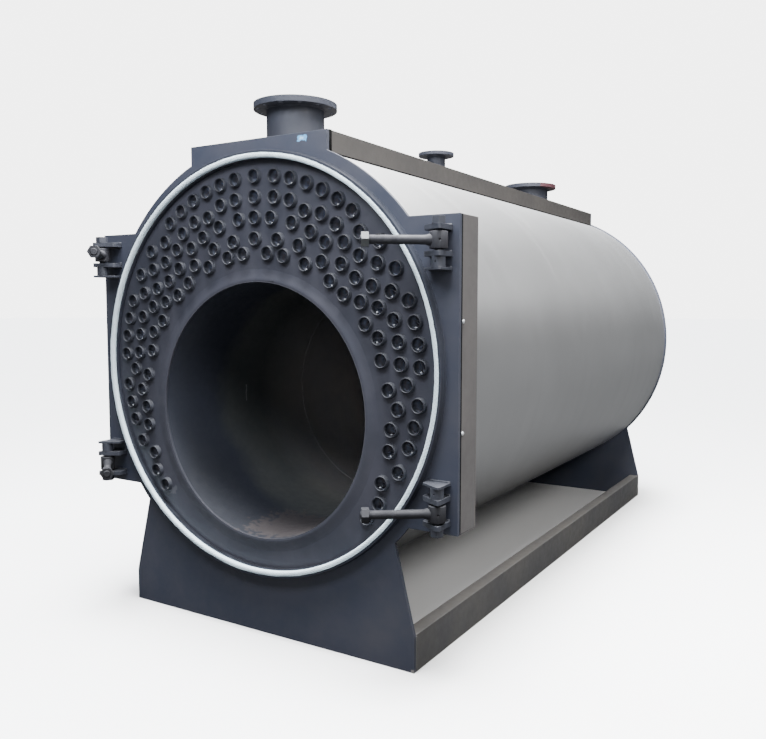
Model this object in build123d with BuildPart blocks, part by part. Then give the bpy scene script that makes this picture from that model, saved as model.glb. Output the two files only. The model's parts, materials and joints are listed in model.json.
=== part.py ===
from build123d import *

import os
from math import acos, cos, degrees, radians, sin, sqrt

# Fire-tube hot-water boiler on its base frame, seen with its front door taken off.
# X runs to the right seen from the front, Y from the front to the rear, Z up.
# The origin is on the floor, in the middle of the front casing plate's foot. Sizes are in mm.

# Whole boiler
axis_height = 1241.0
body_length = 3640.0

# Pressure drum
shell_r = 950.0
shell_t = 14.0
tube_plate_t = 22.0
seat_gap = 0.2

# Casing plates: a round outline with a tab for the deck, ears for the door fittings and a foot
casing_plate_t = 16.0
casing_margin = 10.0
ear_margin = 7.0
ear_above_bolt = 105.0
ear_below_bolt = 99.0
foot_half_width = 826.0
foot_upright = 155.0
foot_neck_inset = 97.0

# Furnace: its bore and its drop below the drum axis are shares of the drum's radius
furnace_ratio = 0.62
furnace_drop_ratio = 0.2137
furnace_t = 14.0
furnace_rim = 8.0
furnace_end_t = 20.0
furnace_end_to_rear = 698.0

# Smoke tubes: the pitch is a share of the drum's radius, and the rows are set out in pitches
tube_r = 31.75
tube_t = 3.6
tube_rim = 20.0
pitch_ratio = 0.0958
outer_row_pitches_in = 0.89
stagger_pitches = 0.33
inner_row_pitches_out = 1.264
fourth_row_pitches_out = 0.703
# Runs of a row: (angle of the first tube from the top, number of tubes), alike on both sides
outer_runs = [(7.7, 6), (50.7, 1), (59.8, 1), (69.4, 4), (98.1, 3), (118.1, 1), (129.6, 2)]
second_runs = [(8.5, 2), (28.9, 2), (73.1, 3), (100.8, 1)]
second_runs_staggered = [(55.2, 1), (64.8, 1), (92.9, 1)]
third_runs = [(8.1, 1), (18.4, 1), (27.8, 2), (54.0, 1), (77.3, 1)]
fourth_runs = [(9.5, 1), (18.5, 1)]
inner_runs = [(5.7, 2), (23.1, 1), (35.1, 2), (55.5, 1), (68.9, 1), (79.0, 1), (92.0, 2), (110.7, 1)]
# Odd tubes in the shoulders: (angle from the top, pitches in from the outer row)
shoulder_places = [
    (22.3, 1.253),
    (38.55, 2.835),
    (41.85, 1.374),
    (44.15, 0.462),
    (46.15, 2.187),
    (49.25, 1.198),
    (60.1, 1.451),
    (62.6, 2.352),
    (67.5, 1.593),
]

# Seat of the front door: two rings on the plate, the inner one low, with a rope gasket between them
gasket_width = 17.0
gasket_height = 39.0
gasket_bevel = 3.0
outer_ring_height = 36.0
outer_ring_t = 12.0
inner_ring_height = 18.0
inner_ring_t = 8.0

# Cladding and the walkway deck
insulation = 54.0
sheet_t = 3.0
seam_gap = 0.4
seam_angle = -50.0
deck_half_width = 394.0
deck_rise = 7.0
deck_lap = 30.0
pipe_hole_gap = 6.0

# Ear casings behind the ears
ear_depth = 167.0
ear_inset = 2.0

# Base channels
channel_height = 160.0
channel_width = 65.0
channel_web = 7.5
channel_flange = 10.5

# Water connections on the centre line, each a set-on pipe with a plate flange
flange_above_deck = 207.0
pipe_setback = 6.0
large_pipe_r = 136.5
large_pipe_t = 6.3
large_flange_r = 197.5
large_flange_t = 28.0
large_bolt_circle = 350.0
large_bolt_hole = 22.0
large_bolt_count = 12
small_pipe_r = 57.15
small_pipe_t = 4.0
small_flange_r = 110.0
small_flange_t = 20.0
small_bolt_circle = 180.0
small_bolt_hole = 18.0
small_bolt_count = 8
supply_from_front = 292.0
safety_from_front = 1708.0
return_from_rear = 340.0

# Swing bolts that hold the door: brackets, pins, eye bolts and nuts
pin_inset = 59.0
pin_reach = 64.0
pin_r = 15.0
pin_clear = 0.3
pin_head_flats = 50.0
pin_head = 29.0
bolt_level = 531.0
lug_outwards = 28.0
lug_inwards = 72.0
lug_nose = 46.0
lug_setback = 12.0
lug_corner_r = 10.0
lug_t = 20.0
thin_lug_t = 10.0
eye_r = 35.0
eye_height = 66.0
eye_side_gap = 8.0
oil_hole_r = 3.0
oil_hole_depth = 10.0
knuckle_r = 27.0
knuckle_height = 41.0
knuckle_side_gap = 0.3
rod_r = 18.0
rod_length = 300.0
rod_chamfer = 3.0
nut_flats = 55.0
nut_height = 29.0
nut_chamfer = 2.5
nut_from_end = 4.0
swing_right_upper = 36.0
swing_right_lower = 36.0
swing_left_upper = 46.0
swing_left_lower = 40.0

# Smoke box at the rear
smoke_box_inset = 100.0
smoke_box_t = 6.0
smoke_box_depth = 300.0
smoke_box_cover_t = 8.0
smoke_box_cover_lap = 30.0
flue_r = 200.0
flue_t = 5.0
flue_rise = 380.0
flue_length = 180.0

# Places that follow from the sizes above
front_face = -casing_plate_t / 2
front_back = casing_plate_t / 2
rear_face = front_face + body_length
rear_front = rear_face - casing_plate_t
shell_inner_r = shell_r - shell_t
tube_plate_r = shell_inner_r - seat_gap
cladding_r = shell_r + insulation
casing_round_r = cladding_r + casing_margin
ear_half_width = casing_round_r + ear_margin
ear_top = bolt_level + ear_above_bolt
ear_bottom = bolt_level + ear_below_bolt
deck_top = casing_round_r + deck_rise
flange_top = deck_top + flange_above_deck
furnace_r = furnace_ratio * shell_r
furnace_outer_r = furnace_r + furnace_t
furnace_height = axis_height - furnace_drop_ratio * shell_r
furnace_front = front_face - furnace_rim
furnace_rear = rear_face - furnace_end_to_rear
tube_front = front_face - tube_rim
tube_rear = rear_face - tube_plate_t
tube_pitch = pitch_ratio * shell_r
outer_row_r = shell_inner_r - outer_row_pitches_in * tube_pitch
second_row_r = outer_row_r - tube_pitch
third_row_r = second_row_r - tube_pitch
inner_row_r = furnace_outer_r + inner_row_pitches_out * tube_pitch
fourth_row_r = inner_row_r + fourth_row_pitches_out * tube_pitch
smoke_box_r = shell_r - smoke_box_inset
pin_x = ear_half_width - pin_inset
pin_y = front_face - pin_reach

os.makedirs("parts", exist_ok=True)


def facing(y):
    """Upright plane at depth y, seen from the front: first axis right, second axis up."""
    return Plane.XZ.offset(-y)


def save(piece, name):
    """Name a finished piece and write it."""
    piece.part.label = name
    export_step(piece.part, f"parts/{name}.step")


def ring(y, depth, outer_r, inner_r, height):
    """Round ring lying across the boiler: from depth y to the rear, centred at the height."""
    with BuildPart() as piece:
        with BuildSketch(facing(y)):
            with Locations((0, height)):
                Circle(outer_r)
                Circle(inner_r, mode=Mode.SUBTRACT)
        extrude(amount=-depth)
    return piece


def row(row_r, height, runs, top_tube=False):
    """Tube centres of one row: runs of (first angle from the top, tubes), alike on both sides."""
    pitch_angle = degrees(tube_pitch / row_r)
    angles = [0.0] if top_tube else []
    for first_angle, count in runs:
        for i in range(count):
            angle = first_angle + i * pitch_angle
            angles += [angle, -angle]
    return [(row_r * sin(radians(a)), height + row_r * cos(radians(a))) for a in angles]


# Tube layout: whole rows near the drum wall and the furnace, odd tubes in the shoulders between them
staggered_row_r = second_row_r + stagger_pitches * tube_pitch
tube_rows = {
    "outer_row_tubes": row(outer_row_r, axis_height, outer_runs, top_tube=True),
    "second_row_tubes": row(second_row_r, axis_height, second_runs, top_tube=True)
    + row(staggered_row_r, axis_height, second_runs_staggered),
    "third_row_tubes": row(third_row_r, axis_height, third_runs, top_tube=True),
    "fourth_row_tubes": row(fourth_row_r, furnace_height, fourth_runs, top_tube=True),
    "inner_row_tubes": row(inner_row_r, furnace_height, inner_runs),
    "shoulder_tubes": [
        centre
        for angle, pitches_in in shoulder_places
        for centre in row(outer_row_r - pitches_in * tube_pitch, axis_height, [(angle, 1)])
    ],
}
tube_centres = [centre for centres in tube_rows.values() for centre in centres]


def casing_plate(y, with_ears):
    """Flat end plate of the casing, with the hole that the drum's tube plate fills."""
    neck_half_width = foot_half_width - foot_neck_inset
    neck_height = axis_height - sqrt(casing_round_r**2 - neck_half_width**2)
    with BuildPart() as plate:
        with BuildSketch(facing(y)):
            with Locations((0, axis_height)):
                Circle(casing_round_r)
            with Locations((0, axis_height + deck_top)):
                Rectangle(2 * deck_half_width, deck_top, align=(Align.CENTER, Align.MAX))
            if with_ears:
                with Locations((0, axis_height - ear_bottom)):
                    Rectangle(2 * ear_half_width, ear_top + ear_bottom, align=(Align.CENTER, Align.MIN))
            with BuildLine():
                right_side = Polyline(
                    (0, 0),
                    (foot_half_width, 0),
                    (foot_half_width, foot_upright),
                    (neck_half_width, neck_height),
                    (0, axis_height),
                )
                mirror(right_side, about=Plane.YZ)
            make_face()
            with Locations((0, axis_height)):
                Circle(shell_inner_r, mode=Mode.SUBTRACT)
        extrude(amount=-casing_plate_t)
    return plate


# Casing plates
save(casing_plate(front_face, with_ears=True), "front_casing_plate")
save(casing_plate(rear_front, with_ears=False), "rear_casing_plate")

# Front tube plate, drilled for the furnace and for every smoke tube
with BuildPart() as front_tube_plate:
    with BuildSketch(facing(front_face)):
        with Locations((0, axis_height)):
            Circle(tube_plate_r)
        with Locations((0, furnace_height)):
            Circle(furnace_outer_r + seat_gap, mode=Mode.SUBTRACT)
        with Locations(*tube_centres):
            Circle(tube_r + seat_gap, mode=Mode.SUBTRACT)
    extrude(amount=-tube_plate_t)
save(front_tube_plate, "front_tube_plate")

# Rear tube plate, where the tubes end
with BuildPart() as rear_tube_plate:
    with BuildSketch(facing(tube_rear)):
        with Locations((0, axis_height)):
            Circle(tube_plate_r)
    extrude(amount=-tube_plate_t)
save(rear_tube_plate, "rear_tube_plate")

# Water connections: place along the boiler, pipe (radius, wall) and flange
large_pipe = (large_pipe_r, large_pipe_t)
small_pipe = (small_pipe_r, small_pipe_t)
large_flange = (large_flange_r, large_flange_t, large_bolt_circle, large_bolt_hole, large_bolt_count)
small_flange = (small_flange_r, small_flange_t, small_bolt_circle, small_bolt_hole, small_bolt_count)
connections = {
    "supply": (front_face + supply_from_front, large_pipe, large_flange),
    "safety": (front_face + safety_from_front, small_pipe, small_flange),
    "return": (rear_face - return_from_rear, large_pipe, large_flange),
}

# Drum shell between the casing plates, open under each water connection
with BuildPart() as pressure_shell:
    with BuildSketch(facing(front_back)):
        with Locations((0, axis_height)):
            Circle(shell_r)
            Circle(shell_inner_r, mode=Mode.SUBTRACT)
    extrude(amount=front_back - rear_front)
    for pipe_y, (pipe_r, pipe_t), _ in connections.values():
        with BuildSketch(Plane.XY.offset(axis_height)):
            with Locations((0, pipe_y)):
                Circle(pipe_r - pipe_t)
        extrude(amount=shell_r, mode=Mode.SUBTRACT)
save(pressure_shell, "pressure_shell")

# Furnace tube and the flat plate that closes its rear end
furnace_tube = ring(furnace_front, furnace_rear - furnace_front, furnace_outer_r, furnace_r, furnace_height)
save(furnace_tube, "furnace_tube")

with BuildPart() as furnace_end:
    with BuildSketch(facing(furnace_rear)):
        with Locations((0, furnace_height)):
            Circle(furnace_outer_r)
    extrude(amount=-furnace_end_t)
save(furnace_end, "furnace_end")

# Smoke tubes, one group for each row
for row_name, centres in tube_rows.items():
    with BuildPart() as tubes:
        with BuildSketch(facing(tube_front)):
            with Locations(*centres):
                Circle(tube_r)
                Circle(tube_r - tube_t, mode=Mode.SUBTRACT)
        extrude(amount=tube_front - tube_rear)
    save(tubes, row_name)

# Door seat
gasket_inner_r = shell_r - gasket_width
outer_front = front_face - outer_ring_height
outer_ring_r = shell_r + outer_ring_t
outer_ring = ring(outer_front, outer_ring_height, outer_ring_r, shell_r + seat_gap, axis_height)
inner_front = front_face - inner_ring_height
inner_ring_r = gasket_inner_r - seat_gap
inner_ring = ring(inner_front, inner_ring_height, inner_ring_r, inner_ring_r - inner_ring_t, axis_height)
save(outer_ring, "door_seat_outer_ring")
save(inner_ring, "door_seat_inner_ring")

rope_gasket = ring(front_face - gasket_height, gasket_height, shell_r, gasket_inner_r, axis_height)
with rope_gasket:
    chamfer(rope_gasket.faces().sort_by(Axis.Y)[0].edges(), gasket_bevel)
save(rope_gasket, "rope_gasket")


def cladding_sheet(side, low_angle, high_angle):
    """Rolled sheet round the drum, between two angles above the horizontal."""
    start = low_angle if side > 0 else 180 - high_angle
    with BuildPart() as sheet:
        with BuildSketch(facing(front_back)):
            with BuildLine():
                outer = CenterArc((0, axis_height), cladding_r, start, high_angle - low_angle)
                inner = CenterArc((0, axis_height), cladding_r - sheet_t, start, high_angle - low_angle)
                Line(outer @ 0, inner @ 0)
                Line(outer @ 1, inner @ 1)
            make_face()
        extrude(amount=front_back - rear_front)
    return sheet


# Cladding: an upper and a lower sheet on each side, lapped under the deck
lap_angle = degrees(acos((deck_half_width - deck_lap) / cladding_r))
half_seam = degrees(seam_gap / 2 / cladding_r)
for side, side_name in ((1, "right"), (-1, "left")):
    save(cladding_sheet(side, seam_angle + half_seam, lap_angle), f"{side_name}_upper_cladding")
    save(cladding_sheet(side, -90 + half_seam, seam_angle - half_seam), f"{side_name}_lower_cladding")

# Deck: a folded tray whose skirts stand on the cladding
skirt_inner = deck_half_width - sheet_t
skirt_foot = sqrt(cladding_r**2 - skirt_inner**2) + seat_gap
skirt_height = deck_top - skirt_foot
deck_align = (Align.CENTER, Align.MAX)
with BuildPart() as top_deck:
    with BuildSketch(facing(front_back)):
        with Locations((0, axis_height + deck_top)):
            Rectangle(2 * deck_half_width, skirt_height, align=deck_align)
        with Locations((0, axis_height + deck_top - sheet_t)):
            Rectangle(2 * skirt_inner, skirt_height, align=deck_align, mode=Mode.SUBTRACT)
    extrude(amount=front_back - rear_front)
    for pipe_y, (pipe_r, pipe_t), _ in connections.values():
        with BuildSketch(Plane.XY.offset(axis_height + deck_top)):
            with Locations((0, pipe_y)):
                Circle(pipe_r + pipe_hole_gap)
        extrude(amount=-sheet_t, mode=Mode.SUBTRACT)
save(top_deck, "top_deck")


def set_on_pipe(y, pipe_r, pipe_t):
    """Upright pipe cut to sit on the drum shell."""
    with BuildPart() as pipe:
        with BuildSketch(Plane.XY.offset(axis_height)):
            with Locations((0, y)):
                Circle(pipe_r)
                Circle(pipe_r - pipe_t, mode=Mode.SUBTRACT)
        extrude(amount=flange_top - pipe_setback)
        with BuildSketch(facing(y - pipe_r)):
            with Locations((0, axis_height)):
                Circle(shell_r + seat_gap)
        extrude(amount=-2 * pipe_r, mode=Mode.SUBTRACT)
    return pipe


def plate_flange(y, pipe_r, flange_r, flange_t, bolt_circle, bolt_hole, bolt_count):
    """Flat flange round the pipe's upper end; its bolt holes straddle the centre lines."""
    with BuildPart() as flange:
        with BuildSketch(Plane.XY.offset(axis_height + flange_top)):
            with Locations((0, y)):
                Circle(flange_r)
                Circle(pipe_r + seat_gap, mode=Mode.SUBTRACT)
                with PolarLocations(bolt_circle / 2, bolt_count, start_angle=180 / bolt_count):
                    Circle(bolt_hole / 2, mode=Mode.SUBTRACT)
        extrude(amount=-flange_t)
    return flange


# Pipes and flanges of the water connections
for name, (pipe_y, (pipe_r, pipe_t), flange) in connections.items():
    save(set_on_pipe(pipe_y, pipe_r, pipe_t), f"{name}_pipe")
    save(plate_flange(pipe_y, pipe_r, *flange), f"{name}_flange")

# Base channels between the casing plates, webs outwards
for side, side_name in ((1, "right"), (-1, "left")):
    with BuildPart() as base_channel:
        with BuildSketch(facing(front_back)):
            with Locations((side * (foot_half_width - channel_width / 2), channel_height / 2)):
                Rectangle(channel_width, channel_height)
            with Locations((side * (foot_half_width - channel_width / 2 - channel_web), channel_height / 2)):
                Rectangle(channel_width, channel_height - 2 * channel_flange, mode=Mode.SUBTRACT)
        extrude(amount=front_back - rear_front)
    save(base_channel, f"{side_name}_base_channel")

# Ear casings: shallow pans behind the ears, cut round the cladding
ear_height = ear_top + ear_bottom
pan_width = ear_half_width - ear_inset
pan_align = (Align.CENTER, Align.MIN)
for side, side_name in ((1, "right"), (-1, "left")):
    with BuildPart() as ear_casing:
        with BuildSketch(facing(front_back)):
            with Locations((side * pan_width / 2, axis_height - ear_bottom)):
                Rectangle(pan_width, ear_height, align=pan_align)
            with Locations((0, axis_height)):
                Circle(cladding_r + seat_gap, mode=Mode.SUBTRACT)
        extrude(amount=casing_plate_t - ear_depth)
        with BuildSketch(facing(front_back)):
            with Locations((side * (pan_width - sheet_t) / 2, axis_height - ear_bottom + sheet_t)):
                Rectangle(pan_width - sheet_t, ear_height - 2 * sheet_t, align=pan_align)
        extrude(amount=casing_plate_t + sheet_t - ear_depth, mode=Mode.SUBTRACT)
    save(ear_casing, f"{side_name}_ear_casing")

# Heights of the fitting's pieces, measured from the swing bolt away from the nearest corner
outer_lug = eye_height / 2 + eye_side_gap
middle_lug = -eye_height / 2 - eye_side_gap - lug_t
knuckle_low = middle_lug - knuckle_side_gap - knuckle_height
inner_lug = knuckle_low - knuckle_side_gap - thin_lug_t


def stretch(level, low, height):
    """Lower end of a stretch above the swing bolt, turned over on the lower fittings."""
    return axis_height + level * bolt_level + (low if level > 0 else -low - height)


def bracket(side, level):
    """Three lugs, one above the other, that carry the pin; their front edges slant back inwards."""
    outer_x = side * (pin_x + lug_outwards)
    inner_x = side * (pin_x - lug_inwards)
    with BuildPart() as lugs:
        for low, height in ((outer_lug, lug_t), (middle_lug, lug_t), (inner_lug, thin_lug_t)):
            with BuildSketch(Plane.XY.offset(stretch(level, low, height))) as outline:
                with BuildLine():
                    Polyline(
                        (outer_x, front_face),
                        (outer_x, pin_y - lug_nose),
                        (inner_x, pin_y + lug_setback),
                        (inner_x, front_face),
                        close=True,
                    )
                make_face()
                fillet(outline.vertices().sort_by(Axis.Y)[:2], lug_corner_r)
                with Locations((side * pin_x, pin_y)):
                    Circle(pin_r + pin_clear, mode=Mode.SUBTRACT)
            extrude(amount=height)
    return lugs


def bolt_plane(side, level, swing):
    """Level plane at the middle of the eye, its first axis along the rod."""
    along = (-side * cos(radians(swing)), -sin(radians(swing)), 0)
    return Plane((side * pin_x, pin_y, axis_height + level * bolt_level), x_dir=along, z_dir=(0, 0, 1))


def oil_hole_mouth(middle, outwards, barrel_r):
    """Plane on the side of a barrel where its oil hole starts, facing in."""
    return Plane(middle + outwards * barrel_r, z_dir=-outwards)


def eye_bolt(side, level, swing):
    """Eye round the pin, an oil hole across it, and a rod that points inwards and swings forwards."""
    plane = bolt_plane(side, level, swing)
    with BuildPart(plane) as bolt:
        Cylinder(rod_r, rod_length, rotation=(0, 90, 0), align=(Align.CENTER, Align.CENTER, Align.MIN))
        chamfer(bolt.edges().sort_by(Axis(plane.origin, plane.x_dir))[-1], rod_chamfer)
        Cylinder(eye_r, eye_height)
        Cylinder(pin_r + pin_clear, eye_height, mode=Mode.SUBTRACT)
        with BuildSketch(oil_hole_mouth(plane.origin, side * plane.y_dir, eye_r)):
            Circle(oil_hole_r)
        extrude(amount=oil_hole_depth, mode=Mode.SUBTRACT)
    return bolt


def bolt_nut(side, level, swing):
    """Hexagon nut near the free end of the rod, one corner up, chamfered at both ends."""
    plane = bolt_plane(side, level, swing)
    start = plane.origin + plane.x_dir * (rod_length - nut_from_end - nut_height)
    nut_plane = Plane(start, x_dir=(0, 0, 1), z_dir=plane.x_dir)
    with BuildPart() as nut:
        with BuildSketch(nut_plane):
            Circle(nut_flats / sqrt(3))
        extrude(amount=nut_height)
        chamfer(nut.edges().filter_by(GeomType.CIRCLE), nut_chamfer)
        with BuildSketch(nut_plane):
            RegularPolygon(nut_flats / 2, 6, major_radius=False)
            Circle(rod_r + seat_gap, mode=Mode.SUBTRACT)
        extrude(amount=nut_height, mode=Mode.INTERSECT)
    return nut


# Swing bolt fittings at the four corners of the door
fittings = {
    "right_upper": (1, 1, swing_right_upper),
    "right_lower": (1, -1, swing_right_lower),
    "left_upper": (-1, 1, swing_left_upper),
    "left_lower": (-1, -1, swing_left_lower),
}
for name, (side, level, swing) in fittings.items():
    save(bracket(side, level), f"{name}_bracket")
    save(eye_bolt(side, level, swing), f"{name}_eye_bolt")
    save(bolt_nut(side, level, swing), f"{name}_nut")

# Pins through the lugs, each with a hexagon head outside the outer lug
with BuildPart() as hinge_pins:
    shank = outer_lug + lug_t - inner_lug
    for side, level, _ in fittings.values():
        with BuildSketch(Plane.XY.offset(stretch(level, inner_lug, shank))):
            with Locations((side * pin_x, pin_y)):
                Circle(pin_r)
        extrude(amount=shank)
        with BuildSketch(Plane.XY.offset(stretch(level, outer_lug + lug_t, pin_head))):
            with Locations((side * pin_x, pin_y)):
                RegularPolygon(pin_head_flats / 2, 6, major_radius=False)
        extrude(amount=pin_head)
save(hinge_pins, "hinge_pins")

# Spacer knuckles on the pins, between the middle and inner lugs
with BuildPart() as hinge_knuckles:
    for side, level, _ in fittings.values():
        knuckle_foot = stretch(level, knuckle_low, knuckle_height)
        with BuildSketch(Plane.XY.offset(knuckle_foot)):
            with Locations((side * pin_x, pin_y)):
                Circle(knuckle_r)
                Circle(pin_r + pin_clear, mode=Mode.SUBTRACT)
        extrude(amount=knuckle_height)
        middle = Vector(side * pin_x, pin_y, knuckle_foot + knuckle_height / 2)
        with BuildSketch(oil_hole_mouth(middle, Vector(0, -1, 0), knuckle_r)):
            Circle(oil_hole_r)
        extrude(amount=oil_hole_depth, mode=Mode.SUBTRACT)
save(hinge_knuckles, "hinge_knuckles")

# Smoke box: drum on the rear tube plate, cover and flue spigot
save(ring(rear_face, smoke_box_depth, smoke_box_r, smoke_box_r - smoke_box_t, axis_height), "smoke_box_drum")

cover_front = rear_face + smoke_box_depth
with BuildPart() as smoke_box_cover:
    with BuildSketch(facing(cover_front)):
        with Locations((0, axis_height)):
            Circle(smoke_box_r + smoke_box_cover_lap)
        with Locations((0, axis_height + flue_rise)):
            Circle(flue_r + seat_gap, mode=Mode.SUBTRACT)
    extrude(amount=-smoke_box_cover_t)
save(smoke_box_cover, "smoke_box_cover")
save(ring(cover_front, flue_length, flue_r, flue_r - flue_t, axis_height + flue_rise), "flue_spigot")
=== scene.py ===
import json
from math import cos, pi, radians, sin

import bpy
from mathutils import Matrix, Vector


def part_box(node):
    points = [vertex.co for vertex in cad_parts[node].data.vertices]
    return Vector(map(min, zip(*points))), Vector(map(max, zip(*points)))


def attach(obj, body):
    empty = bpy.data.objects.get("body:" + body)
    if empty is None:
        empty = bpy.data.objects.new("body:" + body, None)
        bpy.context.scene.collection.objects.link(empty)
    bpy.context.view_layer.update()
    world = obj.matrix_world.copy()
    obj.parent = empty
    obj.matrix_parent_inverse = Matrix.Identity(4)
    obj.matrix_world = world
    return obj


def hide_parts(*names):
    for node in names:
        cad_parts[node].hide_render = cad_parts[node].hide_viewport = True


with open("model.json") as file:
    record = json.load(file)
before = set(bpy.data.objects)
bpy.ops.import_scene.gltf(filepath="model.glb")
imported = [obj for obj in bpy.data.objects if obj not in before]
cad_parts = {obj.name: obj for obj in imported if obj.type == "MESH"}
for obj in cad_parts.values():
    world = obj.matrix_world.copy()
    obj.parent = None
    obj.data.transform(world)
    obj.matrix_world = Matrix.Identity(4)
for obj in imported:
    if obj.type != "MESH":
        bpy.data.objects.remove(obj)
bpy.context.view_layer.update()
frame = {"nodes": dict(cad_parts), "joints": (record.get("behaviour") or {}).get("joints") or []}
nodes = frame["nodes"]
joints = {joint["name"]: joint for joint in frame["joints"]}

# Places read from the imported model, in metres
gasket_low, gasket_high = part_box("rope_gasket")
drum_r = (gasket_high.x - gasket_low.x) / 2
axis_z = (gasket_high.z + gasket_low.z) / 2
plate_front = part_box("front_casing_plate")[0].y
tube_low, tube_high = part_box("outer_row_tubes")


# Modelling helpers


def clear_selection():
    """Leave edit mode and select nothing."""
    if bpy.context.object and bpy.context.object.mode != "OBJECT":
        bpy.ops.object.mode_set(mode="OBJECT")
    bpy.ops.object.select_all(action="DESELECT")


def only(piece):
    """Make one piece the selected and active one."""
    clear_selection()
    piece.select_set(True)
    bpy.context.view_layer.objects.active = piece


def smooth(piece, angle=38):
    """Smooth shading, with edges sharper than the angle kept."""
    only(piece)
    bpy.ops.object.shade_smooth_by_angle(angle=radians(angle))


def turned(name, profile, sides):
    """Round piece about Z: a ring at the first (radius, height) drawn out from step to step.

    A profile that comes back to its start closes on itself; any other is capped at both ends.
    """
    clear_selection()
    radius, height = profile[0]
    bpy.ops.mesh.primitive_circle_add(vertices=sides, radius=radius, location=(0, 0, height))
    piece = bpy.context.object
    piece.name = name
    bpy.ops.object.transform_apply(location=True, rotation=True, scale=True)
    closed = profile[0] == profile[-1]
    bpy.ops.object.mode_set(mode="EDIT")
    bpy.ops.mesh.select_all(action="SELECT")
    if not closed:
        bpy.ops.mesh.edge_face_add()
    for (r0, z0), (r1, z1) in zip(profile, profile[1:]):
        bpy.ops.mesh.extrude_region_move(TRANSFORM_OT_translate={"value": (0, 0, z1 - z0)})
        bpy.ops.transform.resize(value=(r1 / r0, r1 / r0, 1), center_override=(0, 0, z1))
    bpy.ops.mesh.select_all(action="SELECT")
    if closed:
        bpy.ops.mesh.remove_doubles(threshold=1e-6)
    bpy.ops.mesh.normals_make_consistent(inside=False)
    bpy.ops.object.mode_set(mode="OBJECT")
    return piece


def bar(name, size, bevel, segments=2):
    """Block about the origin with its edges rounded."""
    clear_selection()
    bpy.ops.mesh.primitive_cube_add(size=1)
    piece = bpy.context.object
    piece.name = name
    bpy.ops.object.mode_set(mode="EDIT")
    bpy.ops.mesh.select_all(action="SELECT")
    bpy.ops.transform.resize(value=size)
    bpy.ops.mesh.bevel(offset=bevel, segments=segments, affect="EDGES")
    bpy.ops.object.mode_set(mode="OBJECT")
    return piece


def moved(piece, place):
    """Put a 4x4 place into the piece's mesh."""
    piece.data.transform(place)
    piece.data.update()
    return piece


def cut(piece, tool, operation):
    """Join, cut or crop a piece with a tool; the tool goes."""
    only(piece)
    change = piece.modifiers.new("cut", "BOOLEAN")
    change.object = tool
    change.operation = operation
    change.solver = "EXACT"
    bpy.ops.object.modifier_apply(modifier=change.name)
    bpy.data.objects.remove(tool)
    return piece


def select_points(piece, chosen):
    """In edit mode, with only the points selected that a test picks."""
    only(piece)
    bpy.ops.object.mode_set(mode="EDIT")
    bpy.ops.mesh.select_mode(type="VERT")
    bpy.ops.mesh.select_all(action="DESELECT")
    bpy.ops.object.mode_set(mode="OBJECT")
    for point in piece.data.vertices:
        point.select = chosen(point)
    bpy.ops.object.mode_set(mode="EDIT")


def hexagon(name, flats, height, chamfer):
    """Hexagon about Z from the origin up, its corners turned off at both ends."""
    corner = flats / 3**0.5
    slope = chamfer * 0.6
    clearance = 1e-4
    block = turned(name, [(corner, 0.0), (corner, height)], 6)
    barrel_profile = [
        (corner - chamfer, -clearance),
        (corner - chamfer, 0.0),
        (corner, slope),
        (corner, height - slope),
        (corner - chamfer, height),
        (corner - chamfer, height + clearance),
    ]
    return cut(block, turned("barrel", barrel_profile, 48), "INTERSECT")


def weld_run(length, radius):
    """Straight weld run up from the origin along Z, rippled, with tapered ends."""
    ripple = 0.008
    tip, trough = radius * 0.45, radius * 0.84
    count = round(length / ripple)
    profile = [(tip, 0.0)]
    for i in range(count):
        profile.append((radius, (i + 0.35) * length / count))
        profile.append((trough, (i + 0.85) * length / count))
    profile.append((tip, length))
    return turned("weld_run", profile, 8)


def weld_ring(name, ring_r, radius):
    """Weld run round a ring about Z, rippled."""
    clear_selection()
    sides = 6
    ripple = 0.009
    trough_depth = radius * 0.22
    sections = 2 * round(2 * pi * ring_r / ripple)
    bpy.ops.mesh.primitive_torus_add(
        major_radius=ring_r, minor_radius=radius, major_segments=sections, minor_segments=sides
    )
    piece = bpy.context.object
    piece.name = name
    select_points(piece, lambda point: point.index // sides % 2 == 1)
    bpy.ops.transform.shrink_fatten(value=-trough_depth)
    bpy.ops.object.mode_set(mode="OBJECT")
    return piece


def copied(master, name, places):
    """One piece made of a copy of the master at each place; the master goes."""
    clear_selection()
    made = []
    for place in places:
        twin = master.copy()
        twin.data = master.data.copy()
        bpy.context.scene.collection.objects.link(twin)
        twin.data.transform(place)
        twin.select_set(True)
        made.append(twin)
    bpy.context.view_layer.objects.active = made[0]
    if len(made) > 1:
        bpy.ops.object.join()
    bpy.data.objects.remove(master)
    made[0].name = name
    return made[0]


def joined(name, pieces):
    """Several pieces made one."""
    clear_selection()
    for piece in pieces:
        piece.select_set(True)
    bpy.context.view_layer.objects.active = pieces[0]
    bpy.ops.object.join()
    pieces[0].name = name
    return pieces[0]


def settle(piece, body, finish, stands_for=()):
    """Give a finished piece its material and its body, and hide the nodes that it stands for."""
    piece.data.materials.clear()
    piece.data.materials.append(finish)
    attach(piece, body)
    if stands_for:
        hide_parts(*stands_for)


def solids_in(name):
    """Lowest and highest corner of each separate solid in a CAD node."""
    mesh = nodes[name].data
    above = {}

    def top(key):
        while above.setdefault(key, key) != key:
            key = above[key]
        return key

    spots = [tuple(round(c, 6) for c in vertex.co) for vertex in mesh.vertices]
    for face in mesh.polygons:
        first, *rest = (spots[i] for i in face.vertices)
        for spot in rest:
            above[top(spot)] = top(first)
    boxes = {}
    for spot in above:
        low, high = boxes.setdefault(top(spot), (list(spot), list(spot)))
        for i in range(3):
            low[i] = min(low[i], spot[i])
            high[i] = max(high[i], spot[i])
    return [(Vector(low), Vector(high)) for low, high in boxes.values()]


# Material helpers


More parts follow.
